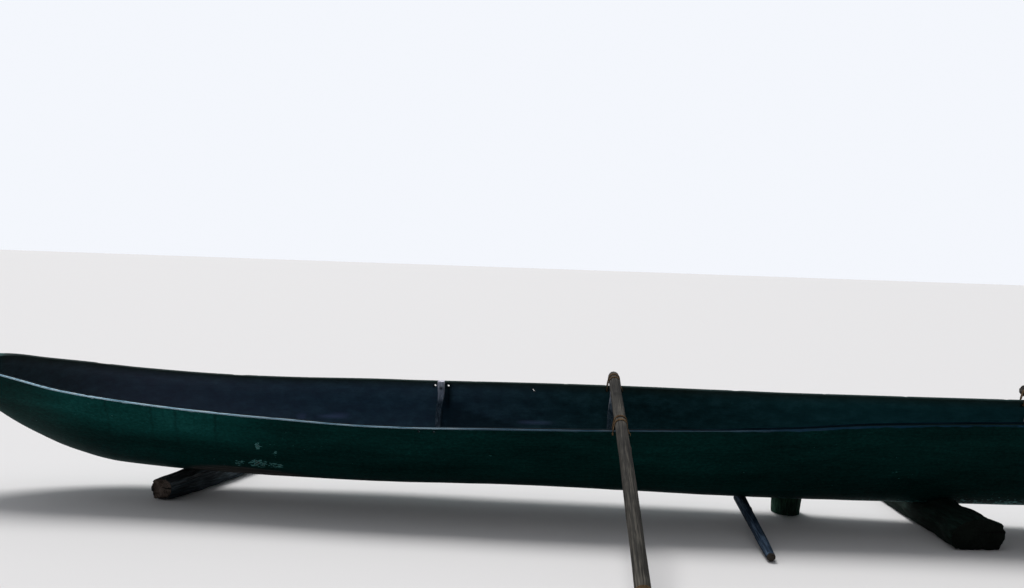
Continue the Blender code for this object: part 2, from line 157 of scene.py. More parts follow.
CORD_WIDTH = 0.005
CORD_TURNS = 4
CORD_LAY = 0.017
LOOP_RADIUS = 0.006

MERGE = 0.0001

# Values that the hull's mesh keeps for its material, beside the grain
HULL_VALUES = "inside rim lip dirty sheen dusty floor keel below faded green scuffed bared stained"


def numbers_of(items, field, width):
    """One row of a field's numbers for each vertex or attribute value."""
    numbers = np.zeros(len(items) * width)
    items.foreach_get(field, numbers)
    return numbers.reshape(-1, width)


def points_of(piece):
    return numbers_of(piece.data.vertices, "co", 3)


def normals_of(piece):
    return numbers_of(piece.data.vertices, "normal", 3)


def set_points(piece, places):
    piece.data.vertices.foreach_set("co", places.astype(np.float32).ravel())
    piece.data.update()


def keep_values(piece, **named):
    """Keeps a number or a vector for each vertex, for the materials to read."""
    layers = piece.data.attributes
    for name, values in named.items():
        values = np.asarray(values, np.float32)
        kind, field = ("FLOAT_VECTOR", "vector") if values.ndim > 1 else ("FLOAT", "value")
        layer = layers.get(name) or layers.new(name, kind, "POINT")
        layer.data.foreach_set(field, values.ravel())


def hull_to_world():
    """The hull frame's place in the model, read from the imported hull."""
    turn = Matrix.Rotation(HEEL, 4, "X")
    upright = points_of(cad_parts["hull"]) @ np.array(turn.to_3x3())
    low, high = upright.min(axis=0), upright.max(axis=0)
    origin = turn @ Vector((low[0], (low[1] + high[1]) / 2.0, low[2]))
    return Matrix.Translation(origin) @ turn


TO_WORLD = hull_to_world()
TO_HULL = TO_WORLD.inverted()
TURN = TO_WORLD.to_3x3()


# Distance of each rib's middle from the stern tip
RIB_X = {place: sum(corner[0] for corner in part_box("rib_" + place)) / 2.0 - TO_WORLD.translation.x
         for place in ("mid", "aft", "fore")}


def moved(places, matrix):
    matrix = np.array(matrix)
    return places @ matrix[:3, :3].T + matrix[:3, 3]


def new_object(name, data):
    made = bpy.data.objects.new(name, data)
    bpy.context.scene.collection.objects.link(made)
    return made


def select_only(piece):
    bpy.ops.object.select_all(action="DESELECT")
    piece.select_set(True)
    bpy.context.view_layer.objects.active = piece


@contextlib.contextmanager
def edit_mode(piece, action="SELECT"):
    """The piece in edit mode, with all or nothing of its mesh selected."""
    select_only(piece)
    bpy.ops.object.mode_set(mode="EDIT")
    bpy.ops.mesh.select_all(action=action)
    yield
    bpy.ops.object.mode_set(mode="OBJECT")


def apply_modifier(piece, kind, **settings):
    select_only(piece)
    modifier = piece.modifiers.new(kind.lower(), kind)
    for name, value in settings.items():
        setattr(modifier, name, value)
    bpy.ops.object.modifier_apply(modifier=modifier.name)


def hand_over(piece, node, material, sharpest=60.0):
    """The finished piece, smooth but for its sharpest edges, stands for its node."""
    select_only(piece)
    bpy.ops.object.shade_smooth_by_angle(angle=radians(sharpest))
    piece.data.materials.clear()
    piece.data.materials.append(material)
    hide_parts(node)
    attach(piece, "root")


def scatter(seed, *cells):
    """Even numbers from 0 to 1, one for each whole-number cell."""
    mixed = np.full(np.shape(cells[0]), seed * 7919 + 12345, np.uint64)
    for cell in cells:
        mixed = (mixed ^ cell.astype(np.int64).astype(np.uint64)) * np.uint64(0x9E3779B97F4A7C15)
        mixed ^= mixed >> np.uint64(29)
    return (mixed >> np.uint64(40)).astype(float) / float(1 << 24)


def lumps(places, size, seed):
    """Smooth noise from -1 to 1 whose lumps have the given size on each axis."""
    grid = places / np.array(size)
    corner = np.floor(grid)
    part = grid - corner
    blend = part * part * (3.0 - 2.0 * part)
    total = np.zeros(len(places))
    for step in product((0, 1), repeat=places.shape[1]):
        weight = np.prod(np.where(step, blend, 1.0 - blend), axis=1)
        total += weight * scatter(seed, *(corner + step).T)
    return 2.0 * total - 1.0


def scoops(along, across, length, width, seed):
    """Depth share, 0 to 1, of the shallow hollows that an adze leaves."""
    flat = np.c_[along / length, across / width]
    cell = np.floor(flat)
    nearest = np.full(len(flat), np.inf)
    for step in product((-1, 0, 1), repeat=2):
        other = cell + step
        jitter = [0.2 + 0.6 * scatter(seed + axis, *other.T) for axis in (0, 1)]
        apart = other + np.column_stack(jitter) - flat
        nearest = np.minimum(nearest, (apart ** 2).sum(axis=1))
    return 1.0 - np.minimum(1.0, 1.5 * nearest)


def ramp(values, start, end):
    """0 before start, 1 after end and a smooth rise between."""
    share = np.clip((values - start) / (end - start), 0.0, 1.0)
    return share * share * (3.0 - 2.0 * share)


def lines_at(x):
    """Half beam, keel height, sheer height and fullness at x from the stern tip, on smooth
    curves through HULL_LINES that never overshoot."""
    stations, values = HULL_LINES[:, 0], HULL_LINES[:, 1:]
    steps = np.diff(stations)
    slopes = np.diff(values, axis=0) / steps[:, None]
    before, after = slopes[:-1], slopes[1:]
    same_way = before * after > 0.0
    total = np.where(same_way, before + after, 1.0)
    middle = np.where(same_way, 2.0 * before * after / total, 0.0)
    tangents = np.r_[slopes[:1], middle, slopes[-1:]]
    along = x / LENGTH
    index = int(np.clip(np.searchsorted(stations, along, "right") - 1, 0, len(steps) - 1))
    t = (along - stations[index]) / steps[index]
    start = (1.0 + 2.0 * t) * (1.0 - t) ** 2 * values[index]
    end = t * t * (3.0 - 2.0 * t) * values[index + 1]
    lean = t * (1.0 - t) ** 2 * tangents[index] - t * t * (1.0 - t) * tangents[index + 1]
    beam, keel, rise, fullness = start + end + steps[index] * lean
    sheer = HULL_DEPTH + SHEER_RISE * rise
    return HALF_BEAM * beam, sheer * keel, sheer, fullness


def evenly(path, spans):
    """Points spaced evenly along a finely drawn path."""
    along = girths(path)
    marks = np.linspace(0.0, along[-1], spans + 1)
    return np.column_stack([np.interp(marks, along, path[:, axis]) for axis in (0, 1)])


def skin(half, bottom, top, fullness, drop, spans):
    """Rounded section from the near wall's top edge, under, to the far one's."""
    power = 2.0 / fullness
    start = asin((drop / (top - bottom)) ** (1.0 / power))
    angle = np.linspace(start, pi - start, 12 * spans)
    across = np.cos(angle)
    y = -half * np.sign(across) * np.abs(across / across[0]) ** power
    z = top - (top - bottom) * np.sin(angle) ** power
    return evenly(np.c_[y, z], spans)


def corner(edge, top):
    """Quarter round from a wall's edge to the flat top, both (y, z)."""
    turn = np.linspace(0.0, pi / 2.0, CORNER_SPANS + 1)
    y = top[0] + (edge[0] - top[0]) * np.cos(turn)
    z = edge[1] + (top[1] - edge[1]) * np.sin(turn)
    return np.c_[y, z]


def hollow_depth(x):
    """Share of the full depth that is dug out at x: 0 under the end decks."""
    reach = min(x - STERN_BLOCK, LENGTH - BOW_BLOCK - x)
    return 1.0 - (1.0 - min(1.0, max(0.0, reach / END_WALL))) ** 3


def hull_section(x):
    """Closed ring of (y, z) at x: outside, far gunwale, hollow, near gunwale."""
    half, keel, sheer, fullness = lines_at(x)
    reach = min(x - STERN_BLOCK, LENGTH - BOW_BLOCK - x)
    share = min(1.0, max(0.0, reach / CAVITY_END_ROUNDING))
    widening = CAVITY_END_WIDTH + (1.0 - CAVITY_END_WIDTH) * sqrt(1.0 - (1.0 - share) ** 2)
    opening = max((half - SIDE_WALL) * widening, 0.15 * half)
    rounding = min(RIM_ROUNDING, 0.20 * half)
    outside = skin(half, keel, sheer, fullness, rounding, OUTSIDE_SPANS)
    floor = min(keel + HULL_FLOOR, sheer - 3.0 * rounding)
    hollow = skin(opening, floor, sheer, fullness, rounding, HOLLOW_SPANS)[::-1]
    base = sheer - rounding
    outer = corner((half, base), (half - rounding, sheer))
    inner = corner((opening, base), (opening + rounding, sheer))[::-1]
    top = np.linspace(outer[-1], inner[0], RIM_SPANS + 1)
    far = np.r_[outer[:-1], top[:-1], inner]
    near = far[::-1] * (-1.0, 1.0)
    ring = np.r_[outside[:-1], far[:-1], hollow[:-1], near[:-1]]
    solid = 1.0 - hollow_depth(x)
    y, z = ring[OUTSIDE_SPANS + CORNER_SPANS:RING - CORNER_SPANS + 1].T
    z += np.abs(z - sheer) * solid + DECK_CROWN * solid * (1.0 - (y / half) ** 2)
    tip = min(1.0, min(x, LENGTH - x) / TIP_ROUNDING)
    shrink = 0.70 + 0.30 * sqrt(1.0 - (1.0 - tip) ** 2)
    middle = np.array((0.0, (keel + sheer) / 2.0))
    return middle + (ring - middle) * shrink


def hull_stations():
    """Places of the mesh's stations, closest where the end walls turn down."""
    walls = (STERN_BLOCK, LENGTH - BOW_BLOCK)
    # place, spans that end there
    marks = [(0.0, 0), (TIP_ROUNDING, 5), (walls[0] - 0.01, 14), (walls[0] + END_WALL, 14),
             (walls[1] - END_WALL, 499), (walls[1] + 0.01, 14), (LENGTH - TIP_ROUNDING, 29),
             (LENGTH, 5)]
    places, spans = zip(*marks)
    return np.interp(np.arange(SPANS + 1), np.cumsum(spans), places)


def girths(section):
    """Distance round a section from its first point."""
    steps = np.diff(section, axis=0)
    return np.r_[0.0, np.cumsum(np.hypot(*steps.T))]


def round_log_of_hull():
    """The trunk that the hull is carved from: a cylinder with many stations."""
    bpy.ops.mesh.primitive_cylinder_add(
        vertices=RING, radius=HALF_BEAM, depth=LENGTH,
        location=(LENGTH / 2.0, 0.0, 0.0), rotation=(0.0, pi / 2.0, 0.0))
    log = bpy.context.object
    log.name = "hull_carved"
    bpy.ops.object.transform_apply()
    bpy.context.tool_settings.mesh_select_mode = (False, True, False)
    for cuts in STATION_CUTS:
        bpy.ops.object.mode_set(mode="EDIT")
        bpy.ops.mesh.select_all(action="DESELECT")
        bpy.ops.object.mode_set(mode="OBJECT")
        x = points_of(log)[:, 0]
        ends = np.zeros(2 * len(log.data.edges), int)
        log.data.edges.foreach_get("vertices", ends)
        lengthwise = np.abs(x[ends[0::2]] - x[ends[1::2]]) > MERGE
        log.data.edges.foreach_set("select", lengthwise)
        bpy.ops.object.mode_set(mode="EDIT")
        bpy.ops.mesh.subdivide(number_cuts=cuts)
        bpy.ops.object.mode_set(mode="OBJECT")
    return log


def carve_hull(hull):
    """Moves the trunk's vertices onto the hull's sections, then adzes them."""
    x, y, z = points_of(hull).T
    station = np.rint(x / LENGTH * SPANS).astype(int)
    column = np.rint(np.arctan2(z, y) / tau * RING).astype(int) % RING
    stations = hull_stations()
    sections = np.array([hull_section(x) for x in stations])
    girth = np.array([girths(section) for section in sections])[station, column]
    x = stations[station]
    places = np.c_[x, sections[station, column]]
    set_points(hull, places)
    with edit_mode(hull):
        bpy.ops.mesh.normals_make_consistent()
    depth = np.array([hollow_depth(place) for place in stations])[station]
    masks = hull_masks(column, depth, places, x)
    push = 0.0035 * lumps(places, (0.9, 0.40, 0.35), 3)
    on_rim = (column > OUTSIDE_SPANS) & (np.abs(masks["below"]) < 0.02)
    rim_line = np.c_[x, places[:, 1]]
    push += 0.0012 * lumps(rim_line, (0.28, 0.6), 37) * on_rim
    push -= 0.0034 * scoops(x, girth, 0.17, 0.075, 11) * masks["inside"] * ~on_rim
    push -= 0.0016 * scoops(x, girth, 0.30, 0.12, 23) * (1.0 - masks["inside"])
    push -= 0.0028 * ramp(lumps(rim_line, (0.055, 0.05), 31), 0.52, 0.95) * on_rim
    set_points(hull, places + normals_of(hull) * push[:, None])
    keep_values(hull, **masks, grain=np.c_[x, girth, places[:, 2]])


def worn(x, below, patches):
    """Wear in rounded patches of the hull's side."""
    shares = [share * np.exp(-np.hypot((x - middle) / along, (below - depth) / down) ** 4)
              for middle, depth, along, down, share in patches]
    return np.max(shares, axis=0)


def hull_masks(column, depth, places, x):
    """Where each finish of the hull lies, one number from 0 to 1 a vertex."""
    hollow_start = OUTSIDE_SPANS + 2 * CORNER_SPANS + RIM_SPANS
    hollow_end = hollow_start + HOLLOW_SPANS
    outside = column <= OUTSIDE_SPANS
    in_hollow = (column >= hollow_start) & (column <= hollow_end)
    on_rim = ~outside & ~in_hollow
    near = (column > hollow_end) | (column < OUTSIDE_SPANS // 2)
    marks = np.linspace(0.0, LENGTH, 200)
    below = np.interp(x, marks, [lines_at(mark)[2] for mark in marks]) - places[:, 2]

    # mesh columns inwards from the outer edge of the gunwale
    inwards = np.where(near, np.where(outside, -column, RING - column), column - OUTSIDE_SPANS)
    width = np.where(near, 3.1 - 1.6 * ramp(x, 3.4, 5.0), 1.8)
    from_lip = inwards + near * 0.6 * ramp(x, 4.6, 5.6)
    lip = ramp(from_lip, -0.6, 0.9) * (1.0 - ramp(from_lip, width - 0.7, width + 0.7)) * ~in_hollow
    dusty = 0.18 * ramp(x, 0.4, 1.2) * (1.0 - ramp(x, 2.9, 4.4))

    # painted shade right of the bare rib: the rib's own shadow, a broader shadow beside it, and a
    # slanted shadow edge lower down
    from_rib = x - RIB_X["mid"]
    rib_shadow = 0.85 * np.exp(-((from_rib - 0.045) / 0.026) ** 2) * ramp(below, 0.36, 0.10)
    beside_rib = 0.55 * np.exp(-((from_rib - 0.10) / 0.075) ** 2) * ramp(below, 0.08, 0.22)
    shadow_edge = ramp(below - 0.150 - 0.26 * from_rib, -0.006, 0.012) * ramp(from_rib, 0.02, 0.05)
    painted_shade_share = np.maximum(np.maximum(rib_shadow, beside_rib), 0.50 * shadow_edge)
    # lighter upper side towards the stern: partly faded paint and partly painted light
    bleach_and_light = ramp(x, 0.4, 1.0) * (1.0 - ramp(x, 1.6, 2.4)) * (1.0 - 0.8 * ramp(below, 0.10, 0.30))
    return {
        "inside": (in_hollow | on_rim) * depth,
        "rim": on_rim * ramp(inwards, 0.0, 2.0) * depth * np.where(near, 1.0, 0.3),
        "lip": lip * (1.0 - np.where(near, 0.36, 0.45) * ramp(x, 5.2, 6.4)),
        "dirty": np.interp(x, *zip(*LIP_SHADE)),
        "sheen": 0.05 * (1.0 - on_rim * near * ramp(x, 3.8, 5.0)),
        "dusty": np.maximum(dusty, worn(x, below, DUST_STREAKS) * ~near) * in_hollow,
        "floor": in_hollow * (1.0 - np.abs(2.0 * (column - hollow_start) / HOLLOW_SPANS - 1.0)),
        "keel": outside * (1.0 - np.abs(2.0 * column / OUTSIDE_SPANS - 1.0)),
        "below": below,
        "faded": np.where(outside, bleach_and_light, 1.0 - ramp(x, 0.8, 2.8)),
        "green": 0.34 * ramp(x, 4.4, 6.0),
        "scuffed": worn(x, below, SCUFFS) * near * outside,
        "bared": worn(x, below, BARE_BILGE) * near * outside,
        "stained": painted_shade_share * (1.0 - ramp(x, 3.45, 3.70)) * in_hollow * ~near,
    }


def add_drill(vertices, radius, place, turn):
    bpy.ops.mesh.primitive_cylinder_add(
        vertices=vertices, radius=radius, depth=5.0 * SIDE_WALL, location=place, rotation=turn)
    return bpy.context.object


def drill_holes(hull):
    """Pairs of lashing holes at each rib, and the slanting split in the far side."""
    drills = []
    for (rib, middle), side, wall in product(RIB_X.items(), (-1.0, 1.0), (-1.0, 1.0)):
        x = middle + side * HOLE_SPREAD
        half, _, sheer, _ = lines_at(x)
        slope = HOLE_SLOPE if rib == "mid" and wall > 0.0 else 0.0
        place = (x, wall * (half - SIDE_WALL), sheer - HOLE_DROP)
        drills.append(add_drill(14, HOLE_RADIUS, place, (pi / 2.0 - slope, 0.0, 0.0)))
    x, drop = SPLIT_PLACE
    half, _, sheer, _ = lines_at(x)
    turn = Matrix.Rotation(-SPLIT_SLOPE, 4, "X") @ Matrix.Rotation(SPLIT_SLANT, 4, "Y")
    turn = turn @ Matrix.Rotation(pi / 2.0, 4, "X")
    drills.append(add_drill(10, 1.0, (x, half - SIDE_WALL, sheer - drop), turn.to_euler()))
    drills[-1].scale = (*SPLIT_SIZE, 1.0)
    select_only(drills[0])
    for drill in drills:
        drill.select_set(True)
    bpy.ops.object.join()
    bpy.ops.object.transform_apply()
    apply_modifier(hull, "BOOLEAN", operation="DIFFERENCE", solver="EXACT", object=drills[0])
    bpy.data.objects.remove(drills[0])
    dress_cuts(hull)


def dress_cuts(hull):
    """New vertices at the holes carry nothing yet: they take their neighbours' values, with no lip, and
    painted shade that darkens the holes' walls.
    """
    names = HULL_VALUES.split()
    layers = hull.data.attributes
    every = np.hstack([numbers_of(layers[name].data, "value", 1) for name in names]
                      + [numbers_of(layers["grain"].data, "vector", 3)])
    is_new = ~every.any(axis=1)
    places = points_of(hull)
    tree = KDTree(int((~is_new).sum()))
    for index in np.flatnonzero(~is_new):
        tree.insert(places[index], int(index))
    tree.balance()
    for vertex in np.flatnonzero(is_new):
        found = tree.find_n(places[vertex], 4)
        weights = np.array([1.0 / (apart + 0.001) for place, index, apart in found])
        every[vertex] = weights @ every[[index for place, index, apart in found]] / weights.sum()
    values = dict(zip(names, every.T), grain=every[:, -3:])
    values["lip"][is_new] = 0.0
    # the holes' walls get painted shade
    values["stained"][is_new] = 0.9
    keep_values(hull, **values)


def make_hull():
    hull = round_log_of_hull()
    carve_hull(hull)
    drill_holes(hull)
    hull.data.transform(TO_WORLD)
    hand_over(hull, "hull", enamelled_dugout_wood(), sharpest=50.0)


def copy_of_node(node, name):
    """A new piece from a node's mesh, its triangles merged and paired."""
    piece = new_object(name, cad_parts[node].data.copy())
    with edit_mode(piece):
        bpy.ops.mesh.remove_doubles(threshold=MERGE)
        bpy.ops.mesh.tris_convert_to_quads()
    for layer in [a.name for a in piece.data.attributes if a.name.startswith("custom")]:
        piece.data.attributes.remove(piece.data.attributes[layer])
    return piece


def round_off(piece, voxel, smoothing, levels=0):
    """Even mesh of the piece with its facets and edges worn round."""
    if levels:
        bpy.context.tool_settings.mesh_select_mode = (False, True, False)
        with edit_mode(piece, "DESELECT"):
            bpy.ops.mesh.edges_select_sharp(sharpness=radians(50.0))
        crease = piece.data.attributes.new("crease_edge", "FLOAT", "EDGE")
        crease.data.foreach_set("value", numbers_of(piece.data.edges, "select", 1).ravel())
        apply_modifier(piece, "SUBSURF", levels=levels, render_levels=levels)
    apply_modifier(piece, "REMESH", mode="VOXEL", voxel_size=voxel)
    apply_modifier(piece, "SMOOTH", factor=0.5, iterations=smoothing)


def pole_coordinates(piece, axis):
    """Distance along, angle round and distance from the bent middle line."""
    places = points_of(piece)
    level = np.cross(axis, (0.0, 0.0, 1.0)) if abs(axis[2]) < 0.9 else np.array((1.0, 0.0, 0.0))
    level /= np.linalg.norm(level)
    along = places @ axis
    marks = np.linspace(along.min() - MERGE, along.max() + MERGE, 25)
    slice_of = np.digitize(along, marks) - 1
    offsets = []
    for side in (level, np.cross(level, axis)):
        across = places @ side
        slices = [across[slice_of == index] for index in range(len(marks) - 1)]
        middles = [(part.min() + part.max()) / 2.0 for part in slices]
        offsets.append(across - np.interp(along, (marks[1:] + marks[:-1]) / 2.0, middles))
    return along - along.min(), np.arctan2(offsets[1], offsets[0]), np.hypot(*offsets)


def round_way(timber, turn):
    """Distance round a timber to an angle, the shorter way."""
    return np.abs((timber.angle - turn + pi) % tau - pi) * timber.radius


def splits(timber, *cracks):
    """Depth share of drying splits: (turn, length), from the far end if negative."""
    depth = np.zeros(len(timber.along))
    for turn, length in cracks:
        from_end = timber.along if length > 0.0 else timber.along.max() - timber.along
        aside = round_way(timber, turn + 0.12 * np.sin(from_end * 23.0 + turn))
        opening = 0.0065 * (1.0 - ramp(from_end, 0.0, abs(length)))
        depth = np.maximum(depth, np.exp(-(aside / (opening + 1e-5)) ** 2) * (opening / 0.0065))
    return depth


def push_out(piece, push):
    """Moves each vertex outwards by its own push."""
    set_points(piece, points_of(piece) + normals_of(piece) * push[:, None])


def knots(timber, width, places):
    """Rounded swellings at (along, angle) places on a pole."""
    swelling = np.zeros(len(timber.along))
    for where, turn in places:
        apart = np.hypot((timber.along - where) * 0.75, round_way(timber, turn)) / width
        swelling += np.exp(-apart ** 2) - 0.35 * np.exp(-(apart / 0.35) ** 2)
    return swelling


def streaks(timber, length, width, seed):
    """Lumps drawn out along a timber's skin."""
    return lumps(timber.flat, (length, width, width), seed)


def start_timber(node, name, direction, voxel, smoothing, levels=0, rough_radius=None):
    """Worn copy of a round timber with its pole coordinates, its cut ends and its places on a
    straight pole, or on its own bumpy skin if it is rough, of about that radius."""
    piece = copy_of_node(node, name)
    round_off(piece, voxel, smoothing, levels)
    axis = np.array(Vector(direction).normalized())
    along, angle, reach = pole_coordinates(piece, axis)
    radius = rough_radius or float(np.median(reach))
    across = reach if rough_radius else radius
    near_end = np.minimum(along, along.max() - along) < 0.045
    return types.SimpleNamespace(
        piece=piece, node=node, along=along, angle=angle, reach=reach, radius=radius,
        flat=np.c_[along, across * np.cos(angle), across * np.sin(angle)],
        cut=ramp(np.abs(normals_of(piece) @ axis), 0.55, 0.90) * near_end)


def finish_timber(timber, push, material):
    """Pushes the skin out, rests it on the ground and keeps what its material reads."""
    piece, angle, reach = timber.piece, timber.angle, timber.reach
    push_out(piece, push)
    places = points_of(piece)
    places[:, 2] = np.maximum(places[:, 2], 0.0)
    set_points(piece, places)
    grain = np.c_[timber.along, reach * np.cos(angle), reach * np.sin(angle)]
    keep_values(piece, grain=grain, cut=timber.cut, sky=ramp(normals_of(piece)[:, 2], -0.4, 0.9))
    hand_over(piece, timber.node, material)


def make_boom(place, seed, material):
    node = "boom_" + place
    way = (0.0, cos(HEEL), sin(HEEL))
    boom = start_timber(node, node + "_pole", way, 0.0042, 3, levels=1)
    push = 0.0016 * streaks(boom, 0.30, 0.06, seed)
    push -= 0.0007 * ramp(streaks(boom, 0.16, 0.007, seed + 1), 0.1, 0.7)
    spots = ((0.13, 1.1), (0.31, -2.0), (0.44, 2.6), (0.58, 0.3), (0.71, -0.9), (0.86, 1.9))
    length = boom.along.max()
    push += 0.0042 * knots(boom, 0.018, [(length * share, turn) for share, turn in spots])
    push -= 0.0060 * splits(boom, (0.9, 0.30), (2.6, -0.22), (-1.8, -0.35))
    finish_timber(boom, push * (1.0 - boom.cut), material)
    return boom.piece


def make_float():
    log = start_timber("float", "float_hewn", (1.0, 0.0, 0.0), 0.0068, 2)
    push = 0.0025 * streaks(log, 0.55, 0.10, 41)
    push -= 0.0036 * scoops(log.along, log.angle * log.radius, 0.21, 0.062, 43)
    push -= 0.0022 * ramp(streaks(log, 0.45, 0.012, 47), 0.35, 0.8)
    push -= 0.0070 * splits(log, (1.3, 0.9), (0.4, -0.7))
    push *= (points_of(log.piece)[:, 2] >= 0.012) * (1.0 - log.cut)
    finish_timber(log, push, weathered_wood("hewn_float_wood"))


def make_rib(place, seed, material):
    """Crook with adzed faces, rounded edges and a knot, from its plain strip."""
    node = "rib_" + place
    rib = copy_of_node(node, node + "_crook")
    round_off(rib, 0.0042, 5)
    middle = RIB_X[place]
    half, _, sheer, _ = lines_at(middle)
    places = moved(points_of(rib), TO_HULL)
    x, y, z = places.T
    below = sheer - z
    waist = 0.90 - 0.12 * ramp(below, 0.07, 0.18)
    lean = -0.015 * ramp(below, 0.06, 0.20) * (2.0 * ramp(y, -0.16, 0.16) - 1.0)
    x[:] = middle + (x - middle) * waist + lean
    if place == "mid":
        z += 0.007 * (y > 0.0) * ramp(-below, -0.05, 0.0)
    set_points(rib, moved(places, TO_WORLD))
    reach = np.hypot(y, z - sheer)
    flat = np.c_[np.arctan2(y, sheer - z) * half, x, reach]
    push = 0.0030 * lumps(flat, (0.22, 0.06, 0.08), seed)
    push -= 0.0014 * scoops(flat[:, 0], x + reach, 0.085, 0.038, seed + 1)
    push -= 0.0014 * ramp(lumps(flat, (0.12, 0.0085, 0.0085), seed + 2), 0.2, 0.8)
    knot = np.where(y > 0.0, np.hypot(z - sheer + 0.028, x - middle - 0.001), 1.0)
    push += 0.0040 * np.exp(-(knot / 0.014) ** 2) - 0.0035 * np.exp(-(knot / 0.005) ** 2)
    push_out(rib, push)
    keep_values(rib, grain=flat, below=below, knot=np.exp(-(knot / 0.012) ** 2))
    hand_over(rib, node, material)


def log_direction(node):
    """Horizontal direction in which a log is longest."""
    places = points_of(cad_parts[node])[:, :2]
    spread = places - places.mean(axis=0)
    values, ways = np.linalg.eigh(spread.T @ spread)
    way = ways[:, -1] * np.sign(ways[1, -1])
    return Vector((way[0], way[1], 0.0))


def make_rough_log(node, name, wood, voxel, lump, furrow, ragged, seed, cracks):
    """Lump and furrow are the heights of its swellings and its bark's furrows, ragged is
    how far the broken ends run in and out, and cracks are its drying splits."""
    log = start_timber(node, name, log_direction(node), voxel, 4, rough_radius=0.10)
    push = lump * streaks(log, 0.19, 0.075, seed)
    push += 0.4 * lump * streaks(log, 0.07, 0.03, seed + 1)
    push -= furrow * ramp(streaks(log, 0.16, 0.016, seed + 2), -0.05, 0.6)
    push -= 0.012 * splits(log, *cracks)
    length = log.along.max()
    push += 0.016 * knots(log, 0.036, ((0.32 * length, 0.9), (0.70 * length, 2.5)))
    torn = ragged * (streaks(log, 1.0, 0.035, seed + 3) - 0.6)
    torn += 0.4 * ragged * streaks(log, 1.0, 0.014, seed + 4)
    push = push * (1.0 - log.cut) + torn * log.cut
    push[(points_of(log.piece)[:, 2] < 0.010) & (push > 0.0)] = 0.0
    finish_timber(log, push, weathered_wood(wood))


def make_chock():
    stump = start_timber("chock", "chock_stump", (0.0, 0.0, 1.0), 0.0048, 3, rough_radius=0.09)
    push = 0.006 * streaks(stump, 0.09, 0.05, 81)
    push -= 0.005 * ramp(streaks(stump, 0.10, 0.013, 83), 0.0, 0.6)
    push -= 0.009 * splits(stump, (0.3, 0.12), (-1.9, 0.10), (-2.6, -0.12))
    push[np.abs(normals_of(stump.piece)[:, 2]) > 0.6] *= 0.1
    finish_timber(stump, push, weathered_wood("moss_and_painted_glare_stump_wood"))


def make_skid_pole():
    pole = start_timber("skid_pole", "skid_pole_peeled", log_direction("skid_pole"), 0.0036, 2)
    push = 0.0022 * streaks(pole, 0.20, 0.05, 91)
    push -= 0.0012 * ramp(streaks(pole, 0.12, 0.006, 93), 0.1, 0.7)
    push += 0.0040 * knots(pole, 0.014, ((0.18, 1.4), (0.41, 2.4), (0.63, 0.8)))
    push -= 0.0045 * splits(pole, (1.2, 0.35))
    wood = weathered_wood("damp_grey_pole_wood")
    finish_timber(pole, push * (1.0 - pole.cut), wood)


def smooth_route(points, step):
    """Evenly spaced points on a smooth curve through the route's own points."""
    points = np.array(points, float)
    padded = np.vstack((2.0 * points[0] - points[1], points, 2.0 * points[-1] - points[-2]))
    t = np.linspace(0.0, 1.0, 9)[:-1][:, None]
    runs = []
    for a, b, c, d in zip(padded, padded[1:], padded[2:], padded[3:]):
        runs.append(b + 0.5 * t * (c - a + t * (2 * a - 5 * b + 4 * c - d + t * (3 * (b - c) + d - a))))
    drawn = np.vstack((*runs, points[-1:]))
    along = np.r_[0.0, np.cumsum(np.linalg.norm(np.diff(drawn, axis=0), axis=1))]
    marks = np.linspace(0.0, along[-1], max(2, int(along[-1] / step)))
    return marks, np.column_stack([np.interp(marks, along, drawn[:, axis]) for axis in range(3)])


def strand_profile():
    """Outline of three twisted strands, as wide as the cord."""
    bpy.ops.curve.primitive_bezier_circle_add(radius=CORD_WIDTH / 2.0)
    profile = bpy.context.object
    profile.name = "strand_profile"
    profile.data.dimensions = "2D"
    spline = profile.data.splines.new("POLY")
    profile.data.splines.remove(profile.data.splines[0])
    spline.points.add(11)
    for index, point in enumerate(spline.points):
        angle = tau * index / 12
        reach = CORD_WIDTH / 2.0 * (0.86 + 0.15 * cos(3.0 * angle))
        point.co = (reach * cos(angle), reach * sin(angle), 0.0, 1.0)
    spline.use_cyclic_u = True
    return profile


def twisted_cord(name, route, profile):
    """Three-strand cord along a route in the hull frame, as a closed mesh."""
    marks, places = smooth_route(route, CORD_WIDTH * 0.46)
    curve = bpy.data.curves.new(name, "CURVE")
    curve.dimensions = "3D"
    curve.bevel_mode = "OBJECT"
    curve.bevel_object = profile
    curve.use_fill_caps = True
    spline = curve.splines.new("POLY")
    spline.points.add(len(places) - 1)
    spline.points.foreach_set("co", np.c_[places, np.ones(len(places))].ravel())
    spline.points.foreach_set("tilt", marks / CORD_LAY * tau)
    select_only(new_object(name, curve))
    bpy.ops.object.convert(target="MESH")
    cord = bpy.context.object
    with edit_mode(cord):
        bpy.ops.mesh.remove_doubles(threshold=MERGE / 5.0)
        bpy.ops.mesh.normals_make_consistent()
    count = len(cord.data.vertices)
    along = np.resize(np.repeat(marks, count // len(marks)), count)
    keep_values(cord, grain=np.c_[along, points_of(cord)[:, 1:]])
    return cord


def boom_surface(boom, x, y, height, angle):
    """Place on the boom's skin, seen from its middle line at that angle."""
    middle = TO_WORLD @ Vector((x, y, height))
    way = TURN @ Vector((cos(angle), 0.0, sin(angle)))
    hit, place, normal, index = boom.ray_cast(middle + way * 0.08, -way, distance=0.08)
    return TO_HULL @ (place if hit else middle + way * 0.038)


def middle_height(boom, x, y):
    """Height of the boom's middle at y, from its top and underside."""
    ends = []
    for side in (1.0, -1.0):
        start = TO_WORLD @ Vector((x, y, 0.0)) + TURN @ Vector((0.0, 0.0, 2.0 * side))
        place = boom.ray_cast(start, TURN @ Vector((0.0, 0.0, -side)))[1]
        ends.append((TO_HULL @ place).z)
    return sum(ends) / 2.0


